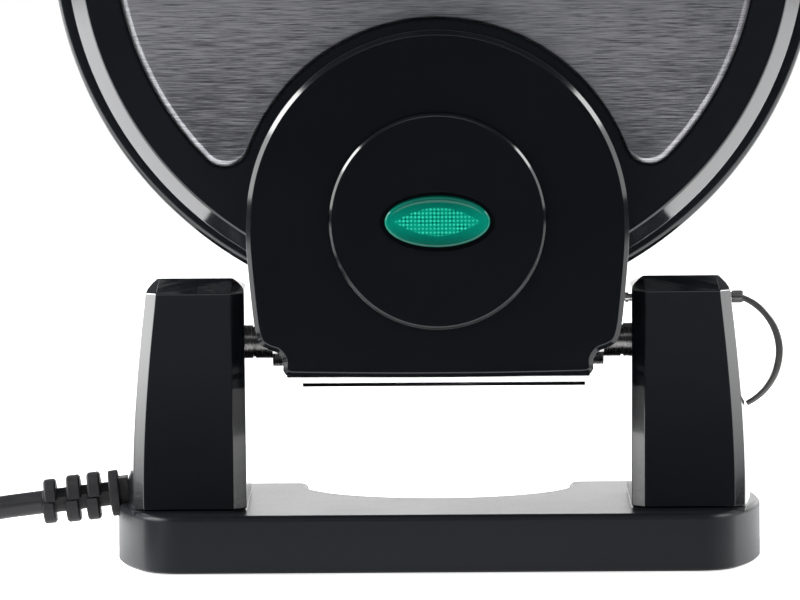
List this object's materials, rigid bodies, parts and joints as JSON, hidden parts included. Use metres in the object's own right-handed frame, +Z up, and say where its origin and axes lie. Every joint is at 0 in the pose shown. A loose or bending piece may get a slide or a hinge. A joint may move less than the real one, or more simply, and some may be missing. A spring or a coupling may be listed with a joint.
{
  "type": "flip waffle maker",
  "caption": "Round flip waffle maker with brushed steel discs, standing upright between two glossy black towers on a low base with a notched back edge.",
  "frame": {"origin": "on the table, under the middle of the flip axis", "axes": "+Z up, +X to the right along the flip axis, +Y from the front to the back"},
  "size_m": [0.3849, 0.1398, 0.4011],
  "materials": {
    "satin_black_plastic": "satin",
    "gloss_black_plastic": "gloss",
    "brushed_steel": "brushed",
    "bright_steel": "bright",
    "coated_aluminium": "non-stick coating",
    "green_lens": "clear gloss",
    "red_lens": "clear gloss",
    "lamp_glass": "clear",
    "black_rubber": "matt",
    "cord_jacket": "satin",
    "nickel_brass": "nickel plated",
    "white_nylon": "matt"
  },
  "bodies": {
    "base": {"base_shell": "satin_black_plastic", "base_bottom_plate": "satin_black_plastic", "rubber_foot_1": "black_rubber", "rubber_foot_2": "black_rubber", "rubber_foot_3": "black_rubber", "rubber_foot_4": "black_rubber", "base_screw_1": "bright_steel", "base_screw_2": "bright_steel", "base_screw_3": "bright_steel", "base_screw_4": "bright_steel", "left_tower_cover": "gloss_black_plastic", "right_tower_cover": "gloss_black_plastic", "left_shaft_bushing": "white_nylon", "right_shaft_bushing": "white_nylon", "lock_spring": "bright_steel", "strain_relief": "black_rubber", "cord_clamp": "white_nylon", "terminal_block": "white_nylon", "mains_cord": "cord_jacket", "cord_coil": "cord_jacket", "plug_body": "black_rubber", "plug_pin_1": "nickel_brass", "plug_pin_2": "nickel_brass"},
    "near_half": {"near_housing": "gloss_black_plastic", "near_steel_plate": "brushed_steel", "near_hinge_cover": "gloss_black_plastic", "near_boss_disc": "gloss_black_plastic", "near_lamp_lens": "green_lens", "near_lamp": "lamp_glass", "near_hinge_bracket": "bright_steel", "near_cooking_plate": "coated_aluminium", "near_heating_element": "bright_steel", "near_heat_shield": "bright_steel", "near_thermostat": "nickel_brass", "near_handle": "gloss_black_plastic", "near_rest_foot": "gloss_black_plastic", "near_bracket_screw_1": "bright_steel", "near_bracket_screw_2": "bright_steel", "left_flip_shaft": "bright_steel", "right_flip_shaft": "bright_steel", "latch_pin": "bright_steel"},
    "far_half": {"far_housing": "gloss_black_plastic", "far_steel_plate": "brushed_steel", "far_hinge_cover": "gloss_black_plastic", "far_boss_disc": "gloss_black_plastic", "far_lamp_lens": "red_lens", "far_lamp": "lamp_glass", "far_hinge_bracket": "bright_steel", "far_cooking_plate": "coated_aluminium", "far_heating_element": "bright_steel", "far_heat_shield": "bright_steel", "far_thermostat": "nickel_brass", "far_handle": "gloss_black_plastic", "far_rest_foot": "gloss_black_plastic", "far_bracket_screw_1": "bright_steel", "far_bracket_screw_2": "bright_steel"},
    "lock_pull": {"lock_pin": "bright_steel"},
    "finger_ring": {"pull_ring": "gloss_black_plastic"},
    "latch": {"handle_latch": "gloss_black_plastic"}
  },
  "joints": [
    {"name": "flip", "type": "hinge", "parent": "base", "child": "near_half", "pos_m": [0, 0, 0.0652], "axis": [1, 0, 0], "range_deg": [-90, 90]},
    {"name": "lid", "type": "hinge", "parent": "near_half", "child": "far_half", "pos_m": [0, 0, 0.0652], "axis": [-1, 0, 0], "range_deg": [0, 90]},
    {"name": "lock_slide", "type": "slide", "parent": "base", "child": "lock_pull", "axis": [1, 0, 0], "range_m": [0, 0.007], "stiffness_N_per_m": 400, "deforming": ["lock_spring"]},
    {"name": "ring_swing", "type": "hinge", "parent": "lock_pull", "child": "finger_ring", "pos_m": [0.09, 0, 0.0778], "axis": [1, 0, 0], "range_deg": [-40, 40]},
    {"name": "latch_turn", "type": "hinge", "parent": "near_half", "child": "latch", "pos_m": [0, -0.011, 0.3741], "axis": [1, 0, 0], "range_deg": [-80, 0]}
  ]
}
